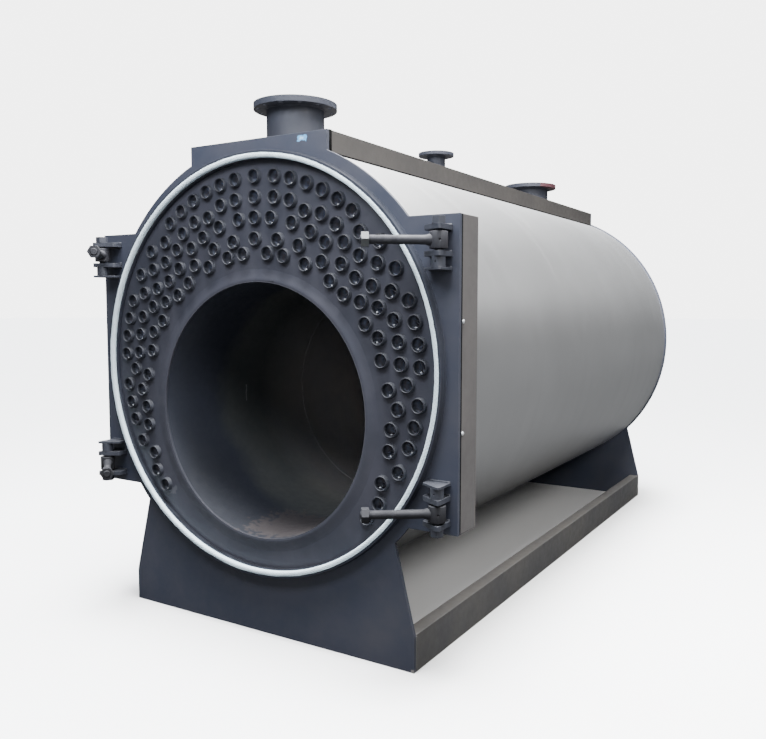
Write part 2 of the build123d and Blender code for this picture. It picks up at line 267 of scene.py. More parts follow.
def srgb(red, green, blue):
    """Colour of a painted or bare surface, given in 0 to 255 steps."""
    def straight(step):
        share = step / 255
        return share / 12.92 if share <= 0.04045 else ((share + 0.055) / 1.055) ** 2.4
    return (straight(red), straight(green), straight(blue), 1.0)


def feed(tree, socket, value):
    """Link a socket to another, or set its value."""
    if isinstance(value, bpy.types.NodeSocket):
        tree.links.new(value, socket)
    else:
        socket.default_value = value


def node(tree, kind, inputs=None, **settings):
    """Add a node with its settings and what feeds it."""
    made = tree.nodes.new(kind)
    for key, value in settings.items():
        setattr(made, key, value)
    for key, value in (inputs or {}).items():
        feed(tree, made.inputs[key], value)
    return made


def mix(tree, share, first, second):
    """Colour between two, by a share from 0 to 1."""
    share_in, first_in, second_in, colour_out = 0, 6, 7, 2
    made = tree.nodes.new("ShaderNodeMix")
    made.data_type = "RGBA"
    feed(tree, made.inputs[share_in], share)
    feed(tree, made.inputs[first_in], first)
    feed(tree, made.inputs[second_in], second)
    return made.outputs[colour_out]


def sums(tree, operation, first, second=0.0):
    """One step of arithmetic."""
    made = node(tree, "ShaderNodeMath", operation=operation)
    feed(tree, made.inputs[0], first)
    feed(tree, made.inputs[1], second)
    return made.outputs[0]


def vectors(tree, operation, first, second=(0, 0, 0)):
    """One step of vector arithmetic."""
    made = node(tree, "ShaderNodeVectorMath", operation=operation)
    feed(tree, made.inputs[0], first)
    feed(tree, made.inputs[1], second)
    return made.outputs[0]


def spread(tree, value, low, high, out_low=0.0, out_high=1.0):
    """Stretch a value from one range to another, clamped."""
    ranges = {"From Min": low, "From Max": high, "To Min": out_low, "To Max": out_high}
    return node(tree, "ShaderNodeMapRange", {"Value": value, **ranges}).outputs[0]


def cloud(tree, where, scale, detail=4.0, rough=0.55):
    """Soft noise, its scale in lumps a metre."""
    lumps = {"Scale": scale, "Detail": detail, "Roughness": rough}
    return node(tree, "ShaderNodeTexNoise", {"Vector": where, **lumps}).outputs[0]


def stretched(tree, where, scale):
    """Coordinates squeezed or drawn out along the axes."""
    return node(tree, "ShaderNodeMapping", {"Vector": where, "Scale": scale}).outputs[0]


def own_place(tree):
    """The piece's own coordinates."""
    return node(tree, "ShaderNodeTexCoord").outputs["Object"]


def parts(tree, vector):
    """The X, Y and Z of a vector."""
    return node(tree, "ShaderNodeSeparateXYZ", {"Vector": vector}).outputs


def facing(tree):
    """The X, Y and Z of the way that the surface looks."""
    return parts(tree, node(tree, "ShaderNodeNewGeometry").outputs["Normal"])


def effect(name, inputs, outputs):
    """New node group with named sockets; gives the tree, its inputs and its output node."""
    tree = bpy.data.node_groups.new(name, "ShaderNodeTree")
    for label, kind, value in inputs:
        socket = tree.interface.new_socket(label, in_out="INPUT", socket_type=kind)
        socket.default_value = value
    for label, kind in outputs:
        tree.interface.new_socket(label, in_out="OUTPUT", socket_type=kind)
    start = tree.nodes.new("NodeGroupInput")
    end = tree.nodes.new("NodeGroupOutput")
    return tree, start.outputs, end.inputs


def use(tree, group, inputs):
    """Place an effect in a material; gives its outputs."""
    made = tree.nodes.new("ShaderNodeGroup")
    made.node_tree = group
    for key, value in inputs.items():
        feed(tree, made.inputs[key], value)
    return made.outputs


# Effects that several finishes share


def make_paint_skin():
    """Sprayed paint: cloudy fading, fine specks and a slight peel."""
    tree, given, out = effect(
        "paint_skin",
        [
            ("Colour", "NodeSocketColor", (0.1, 0.1, 0.1, 1)),
            ("Faded", "NodeSocketColor", (0.2, 0.2, 0.2, 1)),
            ("Patches", "NodeSocketFloat", 3.0),
            ("Roughness", "NodeSocketFloat", 0.45),
        ],
        [
            ("Colour", "NodeSocketColor"),
            ("Roughness", "NodeSocketFloat"),
            ("Height", "NodeSocketFloat"),
        ],
    )
    where = own_place(tree)
    patches = cloud(tree, where, given["Patches"], 6.0, 0.6)
    fading = spread(tree, patches, 0.38, 0.72, 0.0, 0.7)
    faded = mix(tree, fading, given["Colour"], given["Faded"])
    specks = spread(tree, cloud(tree, where, 240.0, 2.0), 0.66, 0.78, 0.0, 0.22)
    feed(tree, out["Colour"], mix(tree, specks, faded, given["Faded"]))
    swing = spread(tree, cloud(tree, where, 26.0, 5.0), 0.3, 0.7, -0.07, 0.07)
    feed(tree, out["Roughness"], sums(tree, "ADD", given["Roughness"], swing))
    feed(tree, out["Height"], cloud(tree, where, 330.0, 2.0))
    return tree


def make_dust_and_top_shade():
    """Dust on faces that look up, thicker in patches; where a finish makes it darker than its
    paint, it is painted shade.
    """
    tree, given, out = effect(
        "dust_and_top_shade",
        [
            ("Colour", "NodeSocketColor", (0.1, 0.1, 0.1, 1)),
            ("Dust", "NodeSocketColor", (0.3, 0.28, 0.26, 1)),
            ("Amount", "NodeSocketFloat", 0.5),
        ],
        [("Colour", "NodeSocketColor"), ("Mask", "NodeSocketFloat")],
    )
    lying = spread(tree, facing(tree)["Z"], 0.15, 0.95)
    patchy = spread(tree, cloud(tree, own_place(tree), 7.0, 7.0, 0.65), 0.25, 0.7, 0.35, 1.0)
    mask = sums(tree, "MULTIPLY", sums(tree, "MULTIPLY", lying, patchy), given["Amount"])
    feed(tree, out["Mask"], mask)
    feed(tree, out["Colour"], mix(tree, mask, given["Colour"], given["Dust"]))
    return tree


def make_broken_edges():
    """Edges slightly rounded, with a mask of where they are rubbed and lightened: wear, and in
    part a painted highlight.
    """
    tree, given, out = effect(
        "broken_edges",
        [("Radius", "NodeSocketFloat", 0.003)],
        [("Normal", "NodeSocketVector"), ("Mask", "NodeSocketFloat")],
    )
    round_edge = node(tree, "ShaderNodeBevel", {"Radius": given["Radius"]}, samples=4).outputs[0]
    flat = node(tree, "ShaderNodeNewGeometry").outputs["Normal"]
    turn = node(tree, "ShaderNodeVectorMath", operation="DOT_PRODUCT")
    feed(tree, turn.inputs[0], round_edge)
    feed(tree, turn.inputs[1], flat)
    bare = spread(tree, turn.outputs["Value"], 0.995, 0.86)
    rubbed_and_lit = spread(tree, cloud(tree, own_place(tree), 38.0, 5.0), 0.42, 0.62)
    feed(tree, out["Normal"], round_edge)
    feed(tree, out["Mask"], sums(tree, "MULTIPLY", bare, rubbed_and_lit))
    return tree


def make_ragged_patch():
    """A patch of another colour with ragged edges, in a box about a place."""
    tree, given, out = effect(
        "ragged_patch",
        [
            ("Colour", "NodeSocketColor", (0.1, 0.1, 0.1, 1)),
            ("Tint", "NodeSocketColor", (0.5, 0.5, 0.5, 1)),
            ("Centre", "NodeSocketVector", (0, 0, 0)),
            ("Half", "NodeSocketVector", (0.1, 0.1, 0.1)),
            ("Ragged", "NodeSocketFloat", 0.02),
            ("Amount", "NodeSocketFloat", 1.0),
        ],
        [("Colour", "NodeSocketColor")],
    )
    half_edge = 0.0015
    where = own_place(tree)
    noise = node(tree, "ShaderNodeTexNoise", {"Vector": where, "Scale": 42.0, "Detail": 6.0})
    centred = vectors(tree, "SUBTRACT", noise.outputs[1], (0.5, 0.5, 0.5))
    shift = node(tree, "ShaderNodeVectorMath", operation="SCALE")
    feed(tree, shift.inputs[0], centred)
    feed(tree, shift.inputs["Scale"], given["Ragged"])
    away = vectors(tree, "SUBTRACT", where, given["Centre"])
    shaken = vectors(tree, "ADD", away, shift.outputs[0])
    past = vectors(tree, "SUBTRACT", vectors(tree, "ABSOLUTE", shaken), given["Half"])
    x, y, z = parts(tree, past)
    furthest = sums(tree, "MAXIMUM", sums(tree, "MAXIMUM", x, y), z)
    inside = spread(tree, furthest, half_edge, -half_edge)
    mask = sums(tree, "MULTIPLY", inside, given["Amount"])
    feed(tree, out["Colour"], mix(tree, mask, given["Colour"], given["Tint"]))
    return tree


paint_skin = make_paint_skin()
dust_and_top_shade = make_dust_and_top_shade()
broken_edges = make_broken_edges()
ragged_patch = make_ragged_patch()


def new_finish(name):
    """Empty material: its tree and its surface shader."""
    finish = bpy.data.materials.new(name)
    finish.use_nodes = True
    tree = finish.node_tree
    tree.nodes.clear()
    surface = tree.nodes.new("ShaderNodeBsdfPrincipled")
    end = tree.nodes.new("ShaderNodeOutputMaterial")
    tree.links.new(surface.outputs[0], end.inputs["Surface"])
    return finish, tree, surface


def bumped(tree, surface, height, strength, distance, normal=None):
    """Fine relief on a surface, from a height."""
    relief = {"Height": height, "Strength": strength, "Distance": distance}
    bump = node(tree, "ShaderNodeBump", relief)
    if normal is not None:
        feed(tree, bump.inputs["Normal"], normal)
    feed(tree, surface.inputs["Normal"], bump.outputs[0])


def marked(tree, coat, marks):
    """Marks laid over a colour, each (tint, centre, half size, raggedness, amount)."""
    labels = ("Tint", "Centre", "Half", "Ragged", "Amount")
    for mark in marks:
        coat = use(tree, ragged_patch, {"Colour": coat, **dict(zip(labels, mark))})["Colour"]
    return coat


def paint_finish(
    name,
    colour,
    faded,
    dust=srgb(46, 46, 48),
    dust_and_shade_amount=0.6,
    roughness=0.48,
    patches=2.5,
    edge=0.003,
    gloss=0.5,
    marks=(),
):
    """Sprayed paint on steel plate: dust on top, painted shade where it is darker than the
    paint; rubbed edges, in part a painted highlight; a few marks.
    """
    finish, tree, surface = new_finish(name)
    look = {"Colour": colour, "Faded": faded, "Patches": patches, "Roughness": roughness}
    skin = use(tree, paint_skin, look)
    edges = use(tree, broken_edges, {"Radius": edge})
    # Edges lightened towards grey: rubbed paint, and in part a painted highlight.
    rubbed_and_lit = sums(tree, "MULTIPLY", edges["Mask"], 0.35)
    worn_and_lit = mix(tree, rubbed_and_lit, skin["Colour"], srgb(118, 118, 122))
    dusted_and_shaded = use(tree, dust_and_top_shade, {"Colour": worn_and_lit, "Dust": dust, "Amount": dust_and_shade_amount})
    feed(tree, surface.inputs["Base Color"], marked(tree, dusted_and_shaded["Colour"], marks))
    rough = sums(tree, "ADD", skin["Roughness"], sums(tree, "MULTIPLY", dusted_and_shaded["Mask"], 0.3))
    feed(tree, surface.inputs["Roughness"], rough)
    surface.inputs["Specular IOR Level"].default_value = gloss
    bumped(tree, surface, skin["Height"], 0.12, 0.0006, edges["Normal"])
    return finish


# Marks and scuffs: tint, centre, half size, raggedness, amount
plate_marks = [
    (srgb(104, 172, 224), (0.261, plate_front, 2.237), (0.026, 0.01, 0.011), 0.03, 0.9),
    (srgb(170, 212, 240), (0.258, plate_front, 2.237), (0.010, 0.01, 0.005), 0.03, 0.9),
    (srgb(150, 146, 142), (0.818, plate_front, 0.008), (0.008, 0.02, 0.006), 0.01, 0.7),
]
chalk_marks = [
    (srgb(112, 114, 120), (0.013, plate_front, 0.402), (0.028, 0.01, 0.008), 0.05, 0.35),
    (srgb(112, 114, 120), (-0.568, plate_front, 0.601), (0.03, 0.01, 0.02), 0.06, 0.3),
]
soot_marks = [(srgb(14, 14, 16), (0.03, plate_front, 1.624), (0.075, 0.03, 0.004), 0.02, 0.9)]
primer_marks = [(srgb(104, 40, 40), (0.21, 3.292, 2.455), (0.075, 0.3, 0.02), 0.08, 0.45)]

casing_shades = srgb(55, 60, 74), srgb(76, 76, 84)
plate_shades = srgb(54, 56, 66), srgb(73, 73, 82)
flange_shades = srgb(50, 54, 65), srgb(64, 65, 73)
# Flanges: the colour laid on their tops is darker than the paint, painted shade.
flange_look = {"dust": srgb(34, 36, 42), "roughness": 0.58, "gloss": 0.4}
bolt_look = {"patches": 20.0, "edge": 0.0015}

# Rear plate: a paler copy of the charcoal, painted light for its foot in the shade under the
# drum.
rear_painted_light = paint_finish("charcoal_paint_rear_painted_light", srgb(68, 74, 90), srgb(86, 87, 96))
charcoal = paint_finish("charcoal_paint_casing", *casing_shades)
front_paint = paint_finish("charcoal_paint_front", *casing_shades, marks=plate_marks)
tube_plate_paint = paint_finish(
    "charcoal_paint_tube_plate", *plate_shades, patches=3.4, marks=chalk_marks
)
mouth_paint = paint_finish("charcoal_paint_mouth", *plate_shades, patches=3.4, marks=soot_marks)
fitting_paint = paint_finish(
    "charcoal_paint_fittings", srgb(50, 53, 62), srgb(68, 70, 79), patches=14.0, edge=0.002
)
# Deck: the colour laid on its top is darker than the paint, painted shade.
deck_paint = paint_finish(
    "deck_paint_sheet", srgb(58, 56, 55), srgb(74, 71, 68), dust=srgb(38, 36, 35), dust_and_shade_amount=0.85
)
# Ear casings: a paler copy of the deck paint, painted light on their sides; the colour on their
# tops is darker, painted shade.
ear_paint_light_and_shade = paint_finish(
    "deck_paint_ears_light_and_shade", srgb(84, 82, 82), srgb(102, 99, 98), dust=srgb(44, 42, 41), dust_and_shade_amount=0.85
)
channel_paint = paint_finish(
    "charcoal_paint_channel", srgb(78, 78, 80), srgb(100, 98, 94), dust=srgb(104, 100, 96)
)
flange_paint = paint_finish("charcoal_paint_flange", *flange_shades, **flange_look)
return_paint = paint_finish(
    "charcoal_paint_primer", *flange_shades, **flange_look, marks=primer_marks
)
bolt_steel = paint_finish(
    "bolt_steel_dark",
    srgb(40, 41, 47),
    srgb(55, 55, 61),
    dust_and_shade_amount=0.2,
    roughness=0.68,
    gloss=0.4,
    **bolt_look,
)
# Darker copy of the bolt steel for the lower swing bolts: painted shade.
bolt_steel_shaded = paint_finish(
    "bolt_steel_painted_shade",
    srgb(28, 29, 34),
    srgb(40, 40, 45),
    dust_and_shade_amount=0.15,
    roughness=0.7,
    gloss=0.4,
    **bolt_look,
)
zinc_nut = paint_finish(
    "bolt_steel_zinc", srgb(70, 73, 75), srgb(88, 91, 92), dust_and_shade_amount=0.2, roughness=0.5, **bolt_look
)
# Near-white steel for the retarder wire ends and the ear screws: bright metal, lightened further
# as a painted glint.
wire_bright_and_glint = paint_finish(
    "bolt_steel_wire_glint",
    srgb(206, 210, 214),
    srgb(226, 229, 232),
    dust_and_shade_amount=0.05,
    roughness=0.3,
    patches=30.0,
    edge=0.001,
)
# Near black for the strips laid in the joints: painted shade.
black_gap_shade = paint_finish(
    "deck_paint_gap_shade",
    srgb(9, 9, 10),
    srgb(14, 14, 14),
    dust=srgb(12, 12, 12),
    roughness=0.8,
    gloss=0.05,
)
# Door seat rings: near black on the faces that look up, painted shade.
seat_paint = paint_finish(
    "charcoal_paint_seat",
    srgb(48, 52, 63),
    srgb(64, 65, 72),
    dust=srgb(10, 11, 14),
    dust_and_shade_amount=1.0,
    roughness=0.7,
    gloss=0.15,
)


def make_tube_finish():
    """Tubes: paint on the lip, darkened as painted shade where it looks up or forward, pale bare
    steel just inside, dark further in.
    """
    finish, tree, surface = new_finish("tube_steel_painted")
    where = own_place(tree)
    inward = parts(tree, where)["Y"]
    shades = {"Colour": srgb(50, 53, 63), "Faded": srgb(66, 68, 77)}
    skin = use(tree, paint_skin, {**shades, "Patches": 9.0, "Roughness": 0.68})
    rusty = spread(tree, cloud(tree, where, 30.0, 6.0), 0.4, 0.65)
    bare = mix(tree, rusty, srgb(168, 177, 198), srgb(158, 154, 162))
    deep = spread(tree, inward, tube_low.y + 0.02, tube_low.y + 0.05)
    # Faces of the lip that look up or to the front are darkened: painted shade.
    looks = facing(tree)
    on_top = spread(tree, looks["Z"], 0.0, 0.7)
    on_lip = spread(tree, looks["Y"], -0.2, -0.8)
    painted_shade = sums(tree, "MULTIPLY", sums(tree, "MAXIMUM", on_top, on_lip), 0.75)
    painted = mix(tree, painted_shade, skin["Colour"], srgb(28, 30, 36))
    far = spread(tree, inward, tube_low.y + 0.11, tube_low.y + 0.17)
    coat = mix(tree, far, mix(tree, deep, painted, bare), srgb(70, 69, 70))
    feed(tree, surface.inputs["Base Color"], coat)
    feed(tree, surface.inputs["Roughness"], skin["Roughness"])
    bumped(tree, surface, skin["Height"], 0.15, 0.0006)
    return finish


def make_furnace_finish():
    """Inside of the furnace: painted mouth, darker along the bottom near the mouth as painted
    shade, then mill scale, painted paler deep in as painted light.

    A patch of dust and a long scratch lie over these.
    """
    dust_patch = (srgb(92, 82, 76), (0.1, 0.22, 0.47), (0.24, 0.2, 0.1), 0.4, 0.28)
    scratch = (srgb(150, 152, 156), (-0.588, 0.573, 1.035), (0.02, 0.0035, 0.045), 0.012, 0.6)
    finish, tree, surface = new_finish("furnace_steel_painted_light_and_shade")
    where = own_place(tree)
    inward = parts(tree, where)["Y"]
    shades = {"Colour": srgb(46, 50, 62), "Faded": srgb(58, 61, 70)}
    skin = use(tree, paint_skin, {**shades, "Patches": 1.6, "Roughness": 0.6})
    mottled = spread(tree, cloud(tree, where, 2.2, 7.0), 0.35, 0.7)
    scale = mix(tree, mottled, srgb(66, 70, 72), srgb(78, 79, 78))
    # Mill scale painted pale towards the far end: painted light deep in the furnace.
    far_painted_light = mix(tree, mottled, srgb(160, 158, 162), srgb(172, 166, 162))
    bare = mix(tree, spread(tree, inward, 0.7, 1.6), scale, far_painted_light)
    waver = spread(tree, cloud(tree, where, 3.0, 6.0), 0.2, 0.8, -0.12, 0.12)
    past_paint = spread(tree, sums(tree, "ADD", inward, waver), 0.34, 0.46)
    lined = mix(tree, past_paint, skin["Colour"], bare)
    past_rim = spread(tree, inward, plate_front - 0.001, plate_front + 0.002)
    rimmed = mix(tree, past_rim, srgb(64, 65, 74), lined)
    # Faces near the mouth that look up are darkened: painted shade.
    near = spread(tree, inward, 0.1, 0.75, 0.75, 0.0)
    painted_shade = sums(tree, "MULTIPLY", spread(tree, facing(tree)["Z"], 0.0, 0.6), near)
    with_painted_shade = mix(tree, painted_shade, rimmed, srgb(22, 24, 29))
    feed(tree, surface.inputs["Base Color"], marked(tree, with_painted_shade, [dust_patch, scratch]))
    feed(tree, surface.inputs["Roughness"], skin["Roughness"])
    bumped(tree, surface, skin["Height"], 0.2, 0.0008)
    return finish


def make_rope_finish():
    """White glass-fibre packing: a plait that follows the ring, slightly soiled."""
    finish, tree, surface = new_finish("gasket_rope_white")
    where = own_place(tree)
    yarn_width, yarn_length = 0.014, 0.016
    x, y, z = parts(tree, where)
    rise = sums(tree, "SUBTRACT", z, axis_z)
    angle = sums(tree, "ARCTAN2", x, rise)
    squares = sums(tree, "ADD", sums(tree, "POWER", x, 2.0), sums(tree, "POWER", rise, 2.0))
    girth = sums(tree, "SUBTRACT", sums(tree, "SQRT", squares), y)
    across = sums(tree, "MULTIPLY", girth, 2 * pi / yarn_width)
    along = sums(tree, "MULTIPLY", angle, 2 * pi * round(drum_r / yarn_length))
    one_way = sums(tree, "SINE", sums(tree, "ADD", along, across))
    other_way = sums(tree, "SINE", sums(tree, "SUBTRACT", along, across))
    plait = sums(tree, "MAXIMUM", one_way, other_way)
    soil = spread(tree, cloud(tree, where, 34.0, 8.0, 0.8), 0.46, 0.76, 0.0, 0.45)
    # Yarn lighter where the plait is raised and darker in the troughs between strands: painted
    # shade.
    raised = spread(tree, plait, -0.2, 0.8)
    yarn = mix(tree, raised, srgb(210, 234, 247), srgb(230, 247, 255))
    feed(tree, surface.inputs["Base Color"], mix(tree, soil, yarn, srgb(164, 181, 192)))
    surface.inputs["Roughness"].default_value = 0.9
    surface.inputs["Sheen Weight"].default_value = 0.4
    fuzz = sums(tree, "MULTIPLY", cloud(tree, where, 700.0, 3.0), 0.8)
    bumped(tree, surface, sums(tree, "ADD", plait, fuzz), 0.45, 0.0012)
    return finish


def make_cladding_finish():
    """Bright rolled sheet: a fine grain round the drum, soft dents, dull streaks and a nick."""
    nick = (srgb(70, 70, 74), (0.641, 0.040, 2.014), (0.02, 0.007, 0.02), 0.006, 0.8)
    finish, tree, surface = new_finish("cladding_sheet_bright")
    where = own_place(tree)
    grain = cloud(tree, stretched(tree, where, (14.0, 900.0, 14.0)), 1.0, 3.0)
    clouds = cloud(tree, where, 1.3, 5.0)
    streaks = cloud(tree, stretched(tree, where, (1.2, 9.0, 1.2)), 1.0, 6.0)
    runs = spread(tree, streaks, 0.5, 0.75)
    clouded = spread(tree, clouds, 0.35, 0.7)
    bright = mix(tree, clouded, srgb(206, 207, 208), srgb(216, 217, 218))
    dulled = mix(tree, sums(tree, "MULTIPLY", runs, 0.12), bright, srgb(186, 187, 189))
    feed(tree, surface.inputs["Base Color"], marked(tree, dulled, [nick]))
    brushed = spread(tree, grain, 0.3, 0.7, 0.36, 0.42)
    rough = sums(tree, "ADD", brushed, sums(tree, "MULTIPLY", runs, 0.03))
    feed(tree, surface.inputs["Roughness"], rough)
    surface.inputs["Metallic"].default_value = 0.95
    dents = sums(tree, "ADD", cloud(tree, where, 1.7, 2.0), sums(tree, "MULTIPLY", grain, 0.01))
    bumped(tree, surface, dents, 0.06, 0.02)
    return finish


tube_steel = make_tube_finish()
furnace_steel = make_furnace_finish()
rope = make_rope_finish()
cladding_sheet = make_cladding_finish()

# Finish of each CAD node that stays in view
finish_of = {
    "front_casing_plate": front_paint,
    "rear_casing_plate": rear_painted_light,
    "front_tube_plate": tube_plate_paint,
    "door_seat_outer_ring": seat_paint,
    "door_seat_inner_ring": seat_paint,
    "furnace_tube": furnace_steel,
    "furnace_end": furnace_steel,
    "rope_gasket": rope,
    "top_deck": deck_paint,
    "right_ear_casing": ear_paint_light_and_shade,
    "left_ear_casing": ear_paint_light_and_shade,
    "hinge_pins": fitting_paint,
    "hinge_knuckles": fitting_paint,
    "right_base_channel": channel_paint,
    "left_base_channel": channel_paint,
    "return_flange": return_paint,
}
for name, cad in nodes.items():
    finish = finish_of.get(name, charcoal)
    if name.endswith("_cladding"):
        finish = cladding_sheet
    elif name.endswith("_tubes"):
        finish = tube_steel
    elif name.endswith(("_flange", "_pipe")) and name not in finish_of:
        finish = flange_paint
    elif name.endswith("_bracket"):
        finish = fitting_paint
    elif name.endswith(("_eye_bolt", "_nut")):
        finish = bolt_steel
    for slot in cad.material_slots:
        slot.material = finish

# Pieces

# Turns that lay a piece made about Z along another axis
along_x = Matrix.Rotation(radians(90), 4, "Y")
along_y = Matrix.Rotation(radians(-90), 4, "X")
towards_front = Matrix.Rotation(radians(90), 4, "X")

# Smoke tubes with rounded lips and a weld round each where it leaves the plate
tube_boxes = {
    row: solids_in(f"{row}_tubes")
    for row in ("outer_row", "second_row", "third_row", "fourth_row", "inner_row", "shoulder")
}
tube_r = (tube_boxes["fourth_row"][0][1].x - tube_boxes["fourth_row"][0][0].x) / 2
tube_wall = 0.0036
tube_sides = 28
tube_length = tube_high.y - tube_low.y
stub = plate_front - tube_low.y
bore_r = tube_r - tube_wall
tube_profile = [
    (tube_r, tube_length),
    (tube_r, stub + 0.0002),
    (tube_r + 0.0034, stub - 0.0002),
    (tube_r + 0.0028, stub - 0.0030),
    (tube_r + 0.0012, stub - 0.0056),
    (tube_r + 0.0004, 0.0030),
    (tube_r - 0.0002, 0.0012),
    (tube_r - 0.0011, 0.0003),
    (tube_r - 0.0022, 0.0),
    (tube_r - 0.0034, 0.0006),
    (bore_r - 0.0006, 0.0020),
    (bore_r - 0.0009, 0.0050),
    (bore_r, 0.0120),
    (bore_r, tube_length),
    (tube_r, tube_length),
]
for row, boxes in tube_boxes.items():
    places = []
    for low, high in boxes:
        middle = (low + high) / 2
        places.append(Matrix.Translation((middle.x, low.y, middle.z)) @ along_y)
    tubes = copied(turned("tube", tube_profile, tube_sides), f"{row}_smoke_tubes", places)
    smooth(tubes)
    settle(tubes, "boiler", tube_steel, (f"{row}_tubes",))

# Retarders in three tubes of five: a twisted strip, with a bright wire end to pull it by
strip_width = 0.046
strip_t = 0.0022
strip_steps = 8
strip_step = 0.022
strip_twist = radians(15)
hook_drop = 0.021
clear_selection()
bpy.ops.mesh.primitive_plane_add(size=1)
strip = bpy.context.object
strip.name = "strip"
bpy.ops.object.mode_set(mode="EDIT")
bpy.ops.mesh.select_all(action="SELECT")
bpy.ops.transform.resize(value=(strip_width, strip_t, 1))
for i in range(strip_steps):
    bpy.ops.mesh.extrude_region_move(TRANSFORM_OT_translate={"value": (0, 0, strip_step)})
    bpy.ops.transform.rotate(value=strip_twist, orient_axis="Z", center_override=(0, 0, 0))
bpy.ops.mesh.select_all(action="SELECT")
bpy.ops.mesh.normals_make_consistent(inside=False)
bpy.ops.object.mode_set(mode="OBJECT")
hook_profile = [
    (0.0012, -0.0045),
    (0.0030, -0.0036),
    (0.0038, -0.0012),
    (0.0036, 0.0016),
    (0.0013, 0.0045),
    (0.0013, 0.060),
]
hook = turned("hook", hook_profile, 10)
hook_places = []
strip_places = []
for row, boxes in tube_boxes.items():
    for i, (low, high) in enumerate(boxes):
        if (3 * i + len(row)) % 5 > 1:
            middle = (low + high) / 2
            lean = radians((37 * i) % 50 - 25)
            hook_y = low.y + 0.016 + 0.003 * (i % 4)
            spot = (middle.x + hook_drop * sin(lean), hook_y, middle.z - hook_drop * cos(lean))
            hook_places.append(Matrix.Translation(spot) @ along_y)
            strip_y = low.y + 0.030 + 0.004 * (i % 5)
            start = Matrix.Translation((middle.x, strip_y, middle.z)) @ along_y
            strip_places.append(start @ Matrix.Rotation(radians(53 * i), 4, "Z"))
hooks = copied(hook, "retarder_hooks", hook_places)
smooth(hooks)
settle(hooks, "boiler", wire_bright_and_glint)
strips = copied(strip, "retarder_strips", strip_places)
smooth(strips, 30)
settle(strips, "boiler", tube_steel)

# Rope gasket: soft flat section that bulges over the rings beside it, with two nicks
rope_rough = 0.0011
nick_angles = (304.0, 307.4)
nick_half = 0.011
nick_floor = 0.012
nick_depth = 0.009
rope_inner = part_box("door_seat_inner_ring")[1].x + 0.0002
rope_depth = plate_front - gasket_low.y
inner_ring_depth = plate_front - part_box("door_seat_inner_ring")[0].y
outer_ring_depth = plate_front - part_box("door_seat_outer_ring")[0].y
rope_middle = (rope_inner + drum_r) / 2
gasket = turned(
    "gasket",
    [
        (rope_inner, 0.0),
        (rope_inner, inner_ring_depth + 0.0006),
        (rope_inner - 0.0030, inner_ring_depth + 0.0030),
        (rope_inner - 0.0035, rope_depth - 0.0100),
        (rope_inner - 0.0015, rope_depth - 0.0030),
        (rope_inner + 0.0020, rope_depth - 0.0006),
        (rope_middle, rope_depth),
        (drum_r - 0.0010, rope_depth - 0.0004),
        (drum_r + 0.0016, rope_depth - 0.0012),
        (drum_r + 0.0012, outer_ring_depth + 0.0006),
        (drum_r - 0.0002, outer_ring_depth + 0.0004),
        (drum_r, 0.0),
        (rope_inner, 0.0),
    ],
    320,
)
select_points(gasket, lambda point: point.co.z > rope_depth - 0.006)
bpy.ops.transform.vertex_random(offset=rope_rough, seed=5)
bpy.ops.object.mode_set(mode="OBJECT")


def in_nick(point, way):
    """Whether a point of the gasket lies in the nick that is this way from the middle."""
    return point.co.z > nick_floor and point.co.normalized().dot(way) > cos(nick_half)


for nick_angle in nick_angles:
    turn = radians(90 - nick_angle)
    nick_way = Vector((cos(turn), sin(turn), 0))
    select_points(gasket, lambda point: in_nick(point, nick_way))
    bpy.ops.transform.translate(value=(0, 0, -nick_depth))
    bpy.ops.object.mode_set(mode="OBJECT")
moved(gasket, Matrix.Translation((0, plate_front, axis_z)) @ towards_front)
smooth(gasket, 50)
settle(gasket, "boiler", rope, ("rope_gasket",))

# Swing bolts: eye, necked rod with a cut thread, and nut
eye_r = 0.035
eye_half = 0.033
pin_bore = 0.0153
rod_r = 0.018
rod_length = 0.300
thread_start = 0.160
thread_pitch = 0.0036
thread_depth = 0.0013
nut_flats = 0.055
nut_height = 0.029
nut_chamfer = 0.0028
nut_start = rod_length - 0.004 - nut_height
nut_bore = [
    (rod_r + 0.003, -0.001),
    (rod_r + 0.0002, 0.0022),
    (rod_r + 0.0002, nut_height + 0.001),
]
oil_profile = [(0.0028, 0.018), (0.0028, 0.0325), (0.0052, 0.0356), (0.0052, 0.045)]
rod_profile = [
    (rod_r + 0.006, 0.027),
    (rod_r + 0.0052, 0.036),
    (rod_r + 0.0020, 0.046),
    (rod_r, 0.056),
]
thread = thread_start
while thread < rod_length - 2 * thread_pitch:
    rod_profile.append((rod_r, thread))
    rod_profile.append((rod_r - thread_depth, thread + thread_pitch / 2))
    thread += thread_pitch
rod_profile += [(rod_r - thread_depth, rod_length - 0.003), (rod_r - 0.004, rod_length)]
